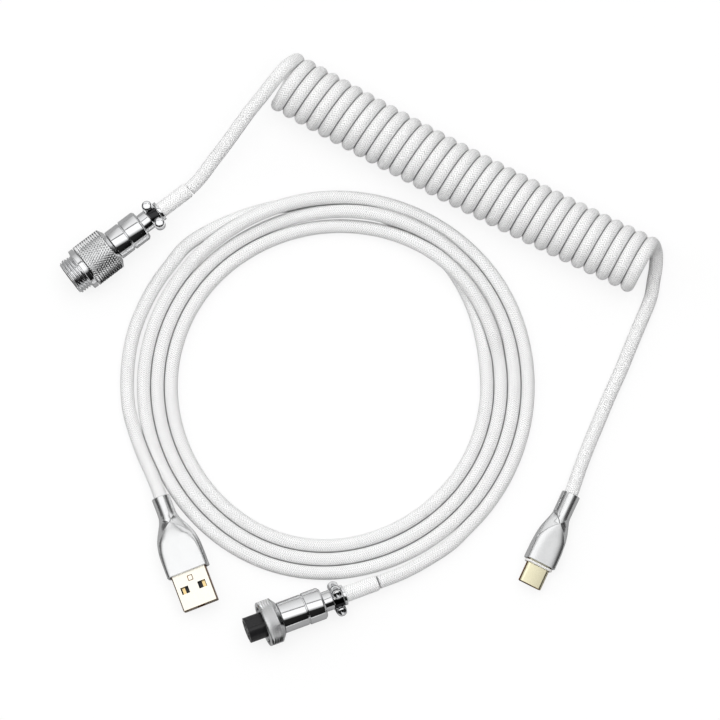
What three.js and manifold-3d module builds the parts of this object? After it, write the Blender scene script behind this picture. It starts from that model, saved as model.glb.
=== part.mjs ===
// Two-piece coiled USB cable, unmated and laid flat.
// The device lead runs from a USB-C plug through a curly coil to a threaded inline socket.
// The host lead runs from a USB-A plug through flat loops to an inline plug with a captive nut.
// Millimetres, +Z up. The origin is under the middle of the four connectors, on the table.

import * as THREE from 'three';
import { mergeVertices } from 'three/addons/utils/BufferGeometryUtils.js';
import Module from 'manifold-3d';

const wasm = await Module();
wasm.setup();

// ---------- driving dimensions ----------

const GAP = 0.3; // clearance between touching pieces

// Moves the whole layout so that its origin is under the middle of the four connectors.
const LAYOUT_SHIFT = [1.2, -3.16, 0];

const CORD_R = 2.25; // braided cord, 4.5 mm
const SLEEVE_R = 2.62; // shrink sleeve over the cord at each round connector
const SLEEVE_TAIL = 11.9; // how far a sleeve reaches behind its clamp

const COIL_R = 10.2; // outside of the curly coil
const COIL_START = [-12.7, 114.3, 10.2]; // coil axis where the first turn starts
const COIL_END = [105.5, 52.4, 10.2]; // coil axis where the last turn ends
const COIL_SAG = 1.4; // the coil's axis bows this far off its chord

const LOOP_CENTRE = [1.9, 13.6];
const LOOP_INNER_R = 49.7; // flat loops, three cords wide
const LOOP_OUTER_R = 62.7;

// Round connectors, distances along the axis from the rear face of the cord clamp.
const CLAMP_FRONT = 4.3; // the clamp ends and the neck starts
const CLAMP_BORE_R = SLEEVE_R + GAP;
const NECK_R = 3.35;
const BARREL_REAR = 7.3;
const GROOVE_REAR = 13.45;
const GROOVE_FRONT = 13.95;
const REAR_BARREL_R = 5.4;
const FRONT_BARREL_R = 5.25;
const SCREW_SPACING = 7.0; // clamp screws, centre to centre across the cord
const SCREW_X = 2.5;
const SCREW_HEAD_R = 1.65;
const SCREW_SHANK_R = 0.95;
const SCREW_TAIL = -3.4;
const SCREW_HOLE_R = SCREW_SHANK_R + GAP;
const LUG_TOP = 2.9; // top of the saddle's lugs above the axis
const LUG_REACH = 5.3; // half the width across the clamp's lugs
const CLAMP_WIDTH = [0.8, 4.0]; // where the saddle lies along the axis
const SHELL_WALL = 1.0;
const PIN_COUNT = 5;
const PIN_CIRCLE_R = 2.6;
const PIN_R = 0.45;

// Socket side.
const SOCKET_SHELL_FRONT = 19.0;
const NOSE_REAR = 24.3;
const NOSE_TUBE_R = 6.2;
const NOSE_BORE_R = 4.8;
const FLANGE_REAR = 30.7;
const FLANGE_FRONT = 32.3;
const FLANGE_R = 7.45;
const NOSE_FRONT = 37.1;
const THREAD_CREST_R = 6.1; // M12 x 1
const THREAD_ROOT_R = 5.6;
const THREAD_PITCH = 1.0;
const THREAD_TURNS = 4;
const KNURL_R = 7.6;

// Plug side.
const PLUG_SHELL_FRONT = 22.3;
const NUT_REAR = 22.55;
const NUT_FRONT = 28.5;
const NUT_THROAT_R = 5.5; // the nut's rear lip, which the slip ring bears on
const INSERT_R = 4.3;
const INSERT_FRONT = 34.2;
const CONTACT_HOLE_R = 1.0;
const SHOULDER_REAR = 27.0; // the slip ring stops here when the nut is pushed forward

// USB plugs, standard sizes. Their own origin is the middle of the housing's front face.
const A_SHELL = { width: 12.0, height: 4.5, wall: 0.3, reach: 12.0 };
const C_SHELL = { width: 8.25, height: 2.4, wall: 0.25, reach: 7.9 };

// Cross-sections of the housings: [x, half width, half height, squareness], rear to front.
const A_HOUSING = [
  [-26.6, 3.07, 3.07, 2], [-20.5, 3.07, 3.07, 2], [-18.5, 3.5, 3.2, 2.2],
  [-16.7, 4.36, 3.4, 2.6], [-13.9, 5.8, 3.75, 3.4], [-11.6, 6.6, 3.95, 4.5],
  [-8, 7.15, 4, 6], [0, 7.2, 4, 8],
];
const C_HOUSING = [
  [-25.3, 3.15, 3.15, 2], [-17.5, 3.15, 3.15, 2], [-16, 3.45, 3.18, 2.2],
  [-14.2, 4, 3.2, 2.6], [-11.1, 4.85, 3.2, 3.6], [-8, 5.2, 3.2, 5], [0, 5.3, 3.2, 6],
];

// Where each connector lies: place of its own origin, then turns about its own axes in degrees.
const SOCKET_PLACE = { at: [-54.0, 70.85, 9.16], yaw: 217, pitch: 3, roll: 0 };
const PLUG_PLACE = { at: [6.7, -56.6, 5.7], yaw: 201, pitch: -4.5, roll: -42 };
const USB_A_PLACE = { at: [-44.3, -48.8, 4.7], yaw: -69.5, pitch: 0, roll: 7 };
const USB_C_PLACE = { at: [71.1, -45.9, 4.4], yaw: -114.6, pitch: 0, roll: -17 };

// Cord routes where the cord is not coiled, by hand.
const TAIL_ROUTE = [
  [-44.2, 78.1, 9.6], [-40.6, 81.8, 10.1], [-36.5, 87.2, 11.3], [-31.6, 93.4, 13.0],
  [-27.3, 99.2, 14.7], [-23.6, 104.1, 15.9], [-20.2, 108.1, 16.9], [-17.3, 111.8, 17.6],
  [-14.7, 115.0, 18.0], [-11.7, 118.5, 16.4],
];
const RUN_ROUTE = [
  [109.9, 57.3, 4.0], [109.7, 52.9, 2.4], [109.0, 48.6, 2.3], [108.3, 44.2, 2.3],
  [107.0, 40.2, 2.3], [104.5, 34.3, 2.3], [101.2, 26.3, 2.3], [97.9, 18.2, 2.3], [94.3, 10.2, 2.3],
  [91.0, 2.2, 2.3], [87.6, -6.0, 2.4], [84.6, -14.0, 3.2], [82.6, -20.0, 4.1], [81.8, -22.3, 4.4],
];
const HOST_START_ROUTE = [
  [-53.7, -23.4, 4.7], [-56.3, -16.6, 4.0], [-59.3, -9.6, 3.0], [-62.0, -2.0, 2.4],
  [-64.0, 5.4, 2.3], [-64.7, 13.6, 2.3], [-64.2, 22.6, 2.3], [-62.6, 31.0, 2.3],
  [-59.5, 39.4, 2.3], [-55.4, 47.2, 2.3], [-50.4, 54.2, 2.3], [-44.8, 60.8, 2.3],
];
const HOST_END_ROUTE = [
  [58.5, 47.4, 2.3], [62.6, 39.4, 2.3], [65.5, 30.7, 2.3], [67.1, 22.2, 2.3],
  [67.5, 13.6, 2.3], [67.1, 5.0, 2.3], [65.4, -3.6, 2.3], [62.7, -12.0, 2.3],
  [58.8, -19.8, 2.3], [53.9, -27.0, 2.3], [48.3, -33.4, 2.3], [41.9, -39.2, 2.4],
  [34.9, -44.0, 2.8], [26.4, -48.8, 3.7], [18.2, -52.2, 4.7],
];

const STEEL = { color: 0xc9ccd0, roughness: 0.18, metalness: 1 };
const CAST = { color: 0xd6d8da, roughness: 0.35, metalness: 0.9 };
const GOLD = { color: 0xf0e0b0, roughness: 0.25, metalness: 1 };
const BRASS = { color: 0xc9a24a, roughness: 0.3, metalness: 1 };
const BLACK_PLASTIC = { color: 0x17181a, roughness: 0.4, metalness: 0 };
const WHITE_PLASTIC = { color: 0xe9e8e4, roughness: 0.45, metalness: 0 };
const BRAID = { color: 0xf1f1f0, roughness: 0.85, metalness: 0 };
const BOARD = { color: 0x1f5a3a, roughness: 0.6, metalness: 0 };

// ---------- geometry helpers ----------

// Welds shared corners, drops collapsed triangles and turns the faces outwards.
function closed(geometry) {
  const bare = geometry.clone();
  for (const name of Object.keys(bare.attributes)) {
    if (name !== 'position') bare.deleteAttribute(name);
  }
  const welded = mergeVertices(bare, 1e-4);
  const p = welded.attributes.position;
  const kept = [];
  let volume = 0;
  const a = new THREE.Vector3();
  const b = new THREE.Vector3();
  const c = new THREE.Vector3();
  for (let i = 0; i < welded.index.count; i += 3) {
    const [u, v, w] = [0, 1, 2].map((k) => welded.index.getX(i + k));
    if (u === v || v === w || w === u) continue;
    kept.push(u, v, w);
    a.fromBufferAttribute(p, u);
    b.fromBufferAttribute(p, v);
    c.fromBufferAttribute(p, w);
    volume += a.dot(b.cross(c));
  }
  if (volume < 0) {
    for (let i = 0; i < kept.length; i += 3) [kept[i], kept[i + 1]] = [kept[i + 1], kept[i]];
  }
  welded.setIndex(kept);
  return welded;
}

function toManifold(geometry) {
  const g = closed(geometry);
  return new wasm.Manifold(new wasm.Mesh({
    numProp: 3,
    vertProperties: new Float32Array(g.attributes.position.array),
    triVerts: new Uint32Array(g.index.array),
  }));
}

function fromManifold(solid) {
  const mesh = solid.getMesh();
  const g = new THREE.BufferGeometry();
  g.setAttribute('position', new THREE.BufferAttribute(new Float32Array(mesh.vertProperties), 3));
  g.setIndex(new THREE.BufferAttribute(new Uint32Array(mesh.triVerts), 1));
  return g;
}

function join(first, ...others) {
  return fromManifold(others.reduce((sum, g) => sum.add(toManifold(g)), toManifold(first)));
}

function cut(first, ...tools) {
  return fromManifold(tools.reduce((rest, g) => rest.subtract(toManifold(g)), toManifold(first)));
}

// A solid of revolution about local X from [x, r] points; the outline closes on itself.
function turned(points, segments = 32) {
  const outline = [...points, points[0]].map(([x, r]) => new THREE.Vector2(r, x));
  return closed(new THREE.LatheGeometry(outline, segments).rotateZ(-Math.PI / 2));
}

// A solid rod about local X, with its ends on the axis.
function rod(x0, x1, r, segments = 24) {
  return turned([[x0, 0], [x0, r], [x1, r], [x1, 0]], segments);
}

function tube(x0, x1, rInner, rOuter, segments = 32) {
  return turned([[x0, rInner], [x0, rOuter], [x1, rOuter], [x1, rInner]], segments);
}

function box([x0, x1], [y0, y1], [z0, z1]) {
  return new THREE.BoxGeometry(x1 - x0, y1 - y0, z1 - z0)
    .translate((x0 + x1) / 2, (y0 + y1) / 2, (z0 + z1) / 2);
}

// A rod standing along local Z.
function post(x, y, z0, z1, r, segments = 16) {
  return rod(z0, z1, r, segments).rotateY(-Math.PI / 2).translate(x, y, 0);
}

// A closed skin through superellipse sections.
function loft(sections, sides = 28) {
  const positions = [];
  const power = (v, n) => Math.sign(v) * Math.abs(v) ** (2 / n);
  for (const [x, halfWidth, halfHeight, n] of sections) {
    for (let i = 0; i < sides; i += 1) {
      const t = ((i + 0.5) / sides) * 2 * Math.PI;
      positions.push(x, halfWidth * power(Math.cos(t), n), halfHeight * power(Math.sin(t), n));
    }
  }
  const index = [];
  for (let s = 0; s < sections.length - 1; s += 1) {
    for (let i = 0; i < sides; i += 1) {
      const j = (i + 1) % sides;
      const [a, b] = [s * sides + i, s * sides + j];
      index.push(a, b, b + sides, a, b + sides, a + sides);
    }
  }
  const last = (sections.length - 1) * sides;
  for (let i = 1; i < sides - 1; i += 1) {
    index.push(0, i + 1, i, last, last + i, last + i + 1);
  }
  const g = new THREE.BufferGeometry();
  g.setAttribute('position', new THREE.BufferAttribute(new Float32Array(positions), 3));
  g.setIndex(index);
  return closed(g);
}

function regularSection(sides, r) {
  const shape = new THREE.Shape();
  for (let i = 0; i < sides; i += 1) {
    const t = ((i + 0.5) / sides) * 2 * Math.PI;
    const [x, y] = [r * Math.cos(t), r * Math.sin(t)];
    if (i === 0) shape.moveTo(x, y);
    else shape.lineTo(x, y);
  }
  return shape;
}

// A plain round cord or rod along a smooth curve through the given points.
function along(points, r, sides, steps) {
  const path = new THREE.CatmullRomCurve3(points.map((p) => new THREE.Vector3(...p)), false, 'centripetal');
  return closed(new THREE.ExtrudeGeometry(regularSection(sides, r), {
    steps, bevelEnabled: false, extrudePath: path,
  }));
}

// A flat tube with round or square corners, standing along local X.
function shellTube(width, height, wall, x0, x1, cornerR) {
  const outline = (w, h, r) => {
    const s = new THREE.Shape();
    const [a, b] = [w / 2, h / 2];
    s.moveTo(a - r, -b);
    s.absarc(a - r, -b + r, r, -Math.PI / 2, 0, false);
    s.absarc(a - r, b - r, r, 0, Math.PI / 2, false);
    s.absarc(-a + r, b - r, r, Math.PI / 2, Math.PI, false);
    s.absarc(-a + r, -b + r, r, Math.PI, Math.PI * 1.5, false);
    return s;
  };
  const shape = outline(width, height, cornerR);
  if (wall > 0) {
    shape.holes.push(outline(width - 2 * wall, height - 2 * wall, Math.max(cornerR - wall, 0.05)));
  }
  const g = new THREE.ExtrudeGeometry(shape, { depth: x1 - x0, bevelEnabled: false, curveSegments: 5 });
  return closed(g.rotateX(Math.PI / 2).rotateZ(Math.PI / 2).translate(x0, 0, 0));
}

function piece(name, geometry, look) {
  const g = geometry.index ? geometry.toNonIndexed() : geometry;
  g.computeVertexNormals();
  const mesh = new THREE.Mesh(g, new THREE.MeshStandardMaterial({ ...look, flatShading: true }));
  mesh.name = name;
  return mesh;
}

function placed({ at, yaw, pitch, roll }, meshes) {
  const group = new THREE.Group();
  const rad = THREE.MathUtils.degToRad;
  group.rotation.set(rad(roll), rad(pitch), rad(yaw), 'ZYX');
  group.position.set(...at);
  group.add(...meshes);
  return group;
}

// ---------- round connectors ----------

function screwPlaces() {
  return [-SCREW_SPACING / 2, SCREW_SPACING / 2];
}

function pinPlaces() {
  const places = [];
  for (let i = 0; i < PIN_COUNT; i += 1) {
    const t = (i / PIN_COUNT) * 2 * Math.PI + Math.PI / 2;
    places.push([PIN_CIRCLE_R * Math.cos(t), PIN_CIRCLE_R * Math.sin(t)]);
  }
  return places;
}

// Barrel in two steps, neck, and the fixed half of the cord clamp.
function backShell(barrelFront) {
  const barrel = turned([
    [CLAMP_FRONT, CLAMP_BORE_R], [CLAMP_FRONT, NECK_R], [BARREL_REAR, NECK_R],
    [BARREL_REAR, REAR_BARREL_R - 0.7], [BARREL_REAR + 0.7, REAR_BARREL_R],
    [GROOVE_REAR, REAR_BARREL_R], [GROOVE_REAR, FRONT_BARREL_R - 0.35],
    [GROOVE_FRONT, FRONT_BARREL_R - 0.35], [GROOVE_FRONT, FRONT_BARREL_R],
    [barrelFront, FRONT_BARREL_R], [barrelFront, FRONT_BARREL_R - SHELL_WALL],
    [BARREL_REAR + SHELL_WALL, FRONT_BARREL_R - SHELL_WALL],
    [BARREL_REAR + SHELL_WALL, CLAMP_BORE_R],
  ]);
  const trough = tube(-0.35, CLAMP_FRONT + 0.2, CLAMP_BORE_R, NECK_R + 0.1);
  const aboveTrough = box([-1, CLAMP_FRONT], [-8, 8], [0.4, 8]);
  const ears = box([CLAMP_WIDTH[0], 4.2], [-LUG_REACH, LUG_REACH], [-2.2, 0.6]);
  const bore = rod(-1, CLAMP_FRONT + 1, CLAMP_BORE_R, 32);
  const holes = screwPlaces().map((y) => post(SCREW_X, y, -4, 2, SCREW_HOLE_R));
  return cut(join(barrel, cut(trough, aboveTrough), cut(ears, bore)), ...holes);
}

// The loose half of the clamp: an arch over the cord with a lug each side.
function clampSaddle() {
  const arch = tube(...CLAMP_WIDTH, CLAMP_BORE_R, 3.75);
  const lugs = box(CLAMP_WIDTH, [-LUG_REACH, LUG_REACH], [1.0, LUG_TOP]);
  const below = box([-1, 5], [-8, 8], [-8, 1.0]);
  const holes = screwPlaces().map((y) => post(SCREW_X, y, 0, 5, SCREW_HOLE_R));
  return cut(join(arch, lugs), below, rod(-1, 5, CLAMP_BORE_R, 32), ...holes);
}

function clampScrew(y) {
  const head = LUG_TOP + GAP;
  const profile = [
    [SCREW_TAIL, 0], [SCREW_TAIL, 0.6], [SCREW_TAIL + 0.35, SCREW_SHANK_R], [head, SCREW_SHANK_R],
    [head, SCREW_HEAD_R], [head + 0.8, SCREW_HEAD_R], [head + 1.5, 0.9], [head + 1.5, 0],
  ];
  const screw = turned(profile, 16).rotateY(-Math.PI / 2).translate(SCREW_X, y, 0);
  return cut(screw, box([SCREW_X - 2, SCREW_X + 2], [y - 0.25, y + 0.25], [head + 0.9, head + 2]));
}

function clampPieces(prefix, barrelFront) {
  return [
    piece(`${prefix}_back_shell`, backShell(barrelFront), STEEL),
    piece(`${prefix}_clamp_saddle`, clampSaddle(), STEEL),
    ...screwPlaces().map((y, i) => piece(`${prefix}_clamp_screw_${i + 1}`, clampScrew(y), STEEL)),
    piece(`${prefix}_shrink_sleeve`, rod(-SLEEVE_TAIL, CLAMP_FRONT + 1.5, SLEEVE_R), WHITE_PLASTIC),
  ];
}

function threadedNose() {
  const outside = [
    [NOSE_REAR, NOSE_TUBE_R], [FLANGE_REAR, NOSE_TUBE_R],
    [FLANGE_REAR, FLANGE_R], [FLANGE_FRONT, FLANGE_R],
  ];
  outside.push([FLANGE_FRONT, THREAD_CREST_R + 0.1], [FLANGE_FRONT + 0.3, THREAD_CREST_R + 0.1]);
  for (let i = 0; i < THREAD_TURNS; i += 1) {
    const x = FLANGE_FRONT + 0.3 + i * THREAD_PITCH;
    outside.push([x + 0.25, THREAD_ROOT_R], [x + 0.35, THREAD_ROOT_R]);
    outside.push([x + 0.7, THREAD_CREST_R], [x + 0.85, THREAD_CREST_R]);
  }
  outside.push([NOSE_FRONT, THREAD_ROOT_R - 0.1]);
  const inside = [[NOSE_FRONT, NOSE_BORE_R], [NOSE_REAR, NOSE_BORE_R]];
  const keyPin = post(FLANGE_FRONT + 2.9, 0, THREAD_ROOT_R - 0.3, THREAD_CREST_R + 0.3, 0.6, 12)
    .rotateX(THREE.MathUtils.degToRad(100));
  return join(turned([...outside, ...inside]), keyPin);
}

function socketSide() {
  const sleeveFront = FLANGE_REAR - GAP;
  const knurledSleeve = turned([
    [19.3, 5.5], [20.3, 7.1], [20.5, KNURL_R], [sleeveFront - 0.4, KNURL_R],
    [sleeveFront, KNURL_R - 0.3], [sleeveFront, NOSE_TUBE_R + GAP],
    [22.0, NOSE_TUBE_R + GAP], [22.0, 4.6], [19.3, 4.6],
  ]);
  const pins = pinPlaces();
  const insertHoles = pins.map(([y, z]) => rod(25, 33, PIN_R + GAP, 12).translate(0, y, z));
  return placed(SOCKET_PLACE, [
    ...clampPieces('socket', SOCKET_SHELL_FRONT),
    piece('socket_knurled_sleeve', knurledSleeve, STEEL),
    piece('socket_threaded_nose', threadedNose(), STEEL),
    piece(
      'socket_insert',
      cut(rod(26.5, 31.4, NOSE_BORE_R - GAP, 32), ...insertHoles),
      BLACK_PLASTIC,
    ),
    ...pins.map(([y, z], i) => piece(
      `socket_pin_${i + 1}`,
      turned([[25.4, 0], [25.4, PIN_R], [35.6, PIN_R], [36, 0.2], [36, 0]], 12).translate(0, y, z),
      BRASS,
    )),
  ]);
}

function couplingNut() {
  const bore = THREAD_CREST_R + 0.05;
  return turned([
    [NUT_REAR, NUT_THROAT_R], [NUT_REAR, 5.75], [NUT_REAR + 1.25, 7.2],
    [NUT_REAR + 1.35, KNURL_R], [NUT_FRONT - 0.3, KNURL_R], [NUT_FRONT, KNURL_R - 0.3],
    [NUT_FRONT, bore], [NUT_REAR + 1.2, bore], [NUT_REAR + 1.2, NUT_THROAT_R],
  ]);
}

// Black insert: five contact holes in the face and key slots down the outside.
function plugInsert() {
  const body = rod(23.3, INSERT_FRONT, INSERT_R, 32);
  const holes = pinPlaces().map(([y, z]) => rod(26.7, 35, CONTACT_HOLE_R, 12).translate(0, y, z));
  const slots = [35, 150, 265].map((angle) => box([28.8, 35], [-0.6, 0.6], [3.85, 5])
    .rotateX(THREE.MathUtils.degToRad(angle)));
  return cut(body, ...holes, ...slots);
}

function plugSide() {
  const frontBody = turned([
    [22.6, 3.9], [22.6, 5.0], [SHOULDER_REAR, 5.0], [SHOULDER_REAR, 5.75],
    [28.0, 5.75], [28.0, 4.6], [23.0, 4.6], [23.0, 3.9],
  ]);
  return placed(PLUG_PLACE, [
    ...clampPieces('plug', PLUG_SHELL_FRONT),
    piece('plug_front_body', frontBody, STEEL),
    piece('coupling_nut', couplingNut(), STEEL),
    piece('nut_slip_ring', tube(24.0, 24.5, 5.3, 5.9), STEEL),
    piece('plug_insert', plugInsert(), BLACK_PLASTIC),
    ...pinPlaces().map(([y, z], i) => piece(
      `plug_contact_${i + 1}`,
      tube(27.0, 33.6, PIN_R + 0.05, 0.75, 12).translate(0, y, z),
      BRASS,
    )),
  ]);
}

// ---------- USB plugs ----------

function usbA() {
  const { width, height, wall, reach } = A_SHELL;
  const [w, h] = [width / 2, height / 2];
  const housing = cut(
    loft(A_HOUSING),
    box([-11.5, 1], [-w - GAP, w + GAP], [-h - GAP, h + GAP]),
    box([-16.5, -11], [-3.4, 3.4], [-1.2, 1.2]),
  );
  const windows = [];
  for (const y of [-3, 3]) {
    for (const z of [-h, h]) {
      windows.push(box([reach - 7.65, reach - 5.25], [y - 1.35, y + 1.35], [z - 0.6, z + 0.6]));
    }
  }
  const shell = cut(shellTube(width, height, wall, -11, reach, 0.5), ...windows);
  const contacts = [[-3.5, 8.6], [-1, 9.6], [1, 9.6], [3.5, 8.6]];
  return placed(USB_A_PLACE, [
    piece('usb_a_housing', housing, CAST),
    piece('usb_a_shell', shell, GOLD),
    piece('usb_a_tongue', box([-9, 11.3], [-5.4, 5.4], [-1.75, 0.05]), BLACK_PLASTIC),
    ...contacts.map(([y, front], i) => piece(
      `usb_a_contact_${i + 1}`,
      box([-9, front], [y - 0.5, y + 0.5], [0.3, 0.5]),
      BRASS,
    )),
    piece('usb_a_board', box([-16.2, -11.8], [-3, 3], [-0.5, 0.5]), BOARD),
  ]);
}

function usbC() {
  const { width, height, wall, reach } = C_SHELL;
  const [bezelWidth, bezelHeight] = [9.7, 4.6];
  const housing = cut(
    loft(C_HOUSING),
    shellTube(width + 2 * GAP, height + 2 * GAP, 0, -9, 1, height / 2 + GAP),
    box([-13, -8.5], [-3.3, 3.3], [-0.8, 0.8]),
  );
  const bezel = cut(
    shellTube(bezelWidth, bezelHeight, 0, GAP, 1.1, 1.8),
    shellTube(width + 2 * GAP, height + 2 * GAP, 0, -1, 2, height / 2 + GAP),
  );
  return placed(USB_C_PLACE, [
    piece('usb_c_housing', housing, CAST),
    piece('usb_c_bezel', bezel, WHITE_PLASTIC),
    piece('usb_c_shell', shellTube(width, height, wall, -8.5, reach, height / 2 - 0.01), GOLD),
    piece('usb_c_insulator', shellTube(7.2, 1.3, 0, -7, 1.5, 0.64), BLACK_PLASTIC),
    ...[['upper', 0.65], ['lower', -0.65]].map(([name, z]) => piece(
      `usb_c_contacts_${name}`,
      box([1.9, 6.6], [-2.9, 2.9], [z - 0.08, z + 0.08]),
      BRASS,
    )),
    piece('usb_c_board', box([-12.7, -9], [-2.9, 2.9], [-0.4, 0.4]), BOARD),
  ]);
}

// ---------- cord ----------

function coilAxis() {
  const start = new THREE.Vector3(...COIL_START);
  const end = new THREE.Vector3(...COIL_END);
  const side = end.clone().sub(start).normalize().cross(new THREE.Vector3(0, 0, 1));
  const points = [];
  for (let i = 0; i <= 4; i += 1) {
    const t = 0.01 + (i / 4) * 0.98;
    const bow = COIL_SAG * Math.sin(Math.PI * t);
    points.push(start.clone().lerp(end, t).addScaledVector(side, bow).toArray());
  }
  return points;
}

function flatLoops() {
  const ring = new THREE.LatheGeometry([
    [LOOP_INNER_R, 0], [LOOP_OUTER_R, 0], [LOOP_OUTER_R, 2 * CORD_R],
    [LOOP_INNER_R, 2 * CORD_R], [LOOP_INNER_R, 0],
  ].map(([r, z]) => new THREE.Vector2(r, z)), 64);
  return closed(ring.rotateX(Math.PI / 2)).translate(...LOOP_CENTRE, 0);
}

function cords() {
  return [
    piece('device_lead_tail', along(TAIL_ROUTE, CORD_R, 10, 6), BRAID),
    piece('curly_coil', along(coilAxis(), COIL_R, 20, 6), BRAID),
    piece('device_lead_run', along(RUN_ROUTE, CORD_R, 10, 10), BRAID),
    piece('host_lead_start', along(HOST_START_ROUTE, CORD_R, 10, 10), BRAID),
    piece('host_lead_loops', flatLoops(), BRAID),
    piece('host_lead_end', along(HOST_END_ROUTE, CORD_R, 10, 12), BRAID),
  ];
}

const cable = new THREE.Group();
cable.position.set(...LAYOUT_SHIFT);
cable.add(socketSide(), plugSide(), usbA(), usbC(), ...cords());

export default cable;
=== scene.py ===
"""Two-piece coiled USB cable, unmated and laid flat on a pale floor.

Connector pieces are built in millimetres in each connector's own frame: +X towards the mating
side, +Z through the top of the cord clamp or housing. A place matrix takes them to the row frame.
"""

from math import acos, ceil, cos, exp, pi, radians, sin, tau

import bmesh
import bpy
from mathutils import Matrix, Vector
from mathutils.kdtree import KDTree


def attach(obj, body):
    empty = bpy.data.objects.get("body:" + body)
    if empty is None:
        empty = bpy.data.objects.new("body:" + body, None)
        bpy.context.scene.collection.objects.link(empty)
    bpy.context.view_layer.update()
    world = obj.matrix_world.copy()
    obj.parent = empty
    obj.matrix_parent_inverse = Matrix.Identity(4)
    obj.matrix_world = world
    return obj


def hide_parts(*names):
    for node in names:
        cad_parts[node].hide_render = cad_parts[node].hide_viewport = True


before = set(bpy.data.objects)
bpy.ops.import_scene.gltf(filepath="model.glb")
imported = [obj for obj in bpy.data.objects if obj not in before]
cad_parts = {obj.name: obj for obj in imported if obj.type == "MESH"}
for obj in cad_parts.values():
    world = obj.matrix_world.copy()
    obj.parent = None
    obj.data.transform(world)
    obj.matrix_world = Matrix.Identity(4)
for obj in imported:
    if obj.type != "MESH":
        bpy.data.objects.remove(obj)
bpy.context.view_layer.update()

# ---------------------------------------------------------------- driving dimensions, mm

MM = 0.001
LAYOUT_SHIFT = Vector((1.2, -3.16, 0.0))

CORD_R = 2.25
CORD_SPACING = 0.8
CREVICE_SHADE_REACH = 0.6
SLEEVE_R = 2.62
SLEEVE_TAIL = 11.9

COIL_START = Vector((-12.7, 114.3, 10.2))
COIL_END = Vector((105.5, 52.4, 10.2))
COIL_TURNS = 30
COIL_MID_R = 7.95
COIL_SAG = 1.4
COIL_LEAN = 0.6
POINTS_PER_TURN = 24

LOOP_CENTRE = Vector((1.9, 13.6, 0.0))
LOOP_INNER_R = 52.1
LOOP_PITCH = 4.5
LOOP_TURNS = 3
LOOP_BULGE, BULGE_ANGLE, BULGE_WIDTH = 1.5, 255.0, 35.0
LOOP_REMAINDER, LOOP_STEP = 52, 7
STEP_FROM, STEP_TO = 125.0, 20.0
CROSSING_REACH = 1.7

NECK_R = 3.35
CLAMP_FRONT = 4.3
BARREL_REAR = 7.3
GROOVE_REAR, GROOVE_FRONT = 13.45, 13.95
REAR_BARREL_R, FRONT_BARREL_R = 5.4, 5.25
CLAMP_BORE_R = 2.92
SCREW_X, SCREW_Y, SCREW_HOLE_R = 2.5, 3.5, 1.2
LUG_TOP = 2.9
PIN_COUNT, PIN_CIRCLE_R, PIN_R = 5, 2.6, 0.45

KNURL_R = 7.6
KNURL_TEETH = 52
KNURL_SEGMENTS = KNURL_TEETH * 8
KNURL_PERIOD = 1.68
KNURL_DEPTH = 0.34
KNURL_FADE, KNURL_FLAT, KNURL_FLANK = 0.2, 0.3, 0.6
THREAD_CREST_R, THREAD_ROOT_R, THREAD_PITCH = 6.1, 5.6, 1.0

# ---------------------------------------------------------------- where things lie


def place(at, yaw, pitch, roll):
    """Matrix from a connector's own millimetres to the row frame in metres."""
    turn = (
        Matrix.Rotation(radians(yaw), 4, "Z")
        @ Matrix.Rotation(radians(pitch), 4, "Y")
        @ Matrix.Rotation(radians(roll), 4, "X")
    )
    return Matrix.Scale(MM, 4) @ Matrix.Translation(Vector(at) + LAYOUT_SHIFT) @ turn


SOCKET = place((-54.0, 70.85, 9.16), 217, 3, 0)
PLUG = place((6.7, -56.6, 5.7), 201, -4.5, -42)
USB_A = place((-44.3, -48.8, 4.7), -69.5, 0, 7)
USB_C = place((71.1, -45.9, 4.4), -114.6, 0, -17)

TAIL_ROUTE = [
    (-44.2, 78.1, 9.6), (-40.6, 81.8, 10.1), (-36.5, 87.2, 11.3), (-31.6, 93.4, 13.0),
    (-27.3, 99.2, 14.7), (-23.6, 104.1, 15.9), (-20.2, 108.1, 16.9), (-17.3, 111.8, 17.6),
    (-14.7, 115.0, 18.0), (-11.7, 118.5, 16.4), (-9.8, 120.1, 14.1),
]
RUN_ROUTE = [
    (109.3, 59.3, 6.2), (109.9, 57.3, 4.0), (109.7, 52.9, 2.4), (109.0, 48.6, 2.3),
    (108.3, 44.2, 2.3), (107.0, 40.2, 2.3), (104.5, 34.3, 2.3), (101.2, 26.3, 2.3),
    (97.9, 18.2, 2.3), (94.3, 10.2, 2.3), (91.0, 2.2, 2.3), (87.6, -6.0, 2.4),
    (84.6, -14.0, 3.2), (82.6, -20.0, 4.1), (81.8, -22.3, 4.4), (81.1, -24.1, 4.4),
]
HOST_START_ROUTE = [
    (-53.2, -25.0, 4.7), (-53.7, -23.4, 4.7), (-56.3, -16.6, 4.0), (-59.3, -9.6, 3.0),
    (-62.0, -2.0, 2.4), (-64.0, 5.4, 2.3), (-64.7, 13.6, 2.3), (-64.2, 22.6, 2.3),
    (-62.6, 31.0, 2.3), (-59.5, 39.4, 2.3), (-55.4, 47.2, 2.3), (-50.4, 54.2, 2.3),
    (-44.8, 60.8, 2.3),
]
HOST_END_ROUTE = [
    (41.9, -39.2, 2.4), (34.9, -44.0, 2.8), (26.4, -48.8, 3.7), (18.2, -52.2, 4.7),
]
# The host lead passes under its own turns here: angle in degrees and radius in mm.
UNDERPASS_START = (135, 65.5)
UNDERPASS = [
    (120, 63.9), (105, 62.1), (90, 60.9), (75, 59.7), (60, 58.4), (45, 56.4), (30, 54.3),
    (15, 52.6),
]

# ---------------------------------------------------------------- routes


def smoothstep(t):
    t = min(max(t, 0.0), 1.0)
    return t * t * (3 - 2 * t)


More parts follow.
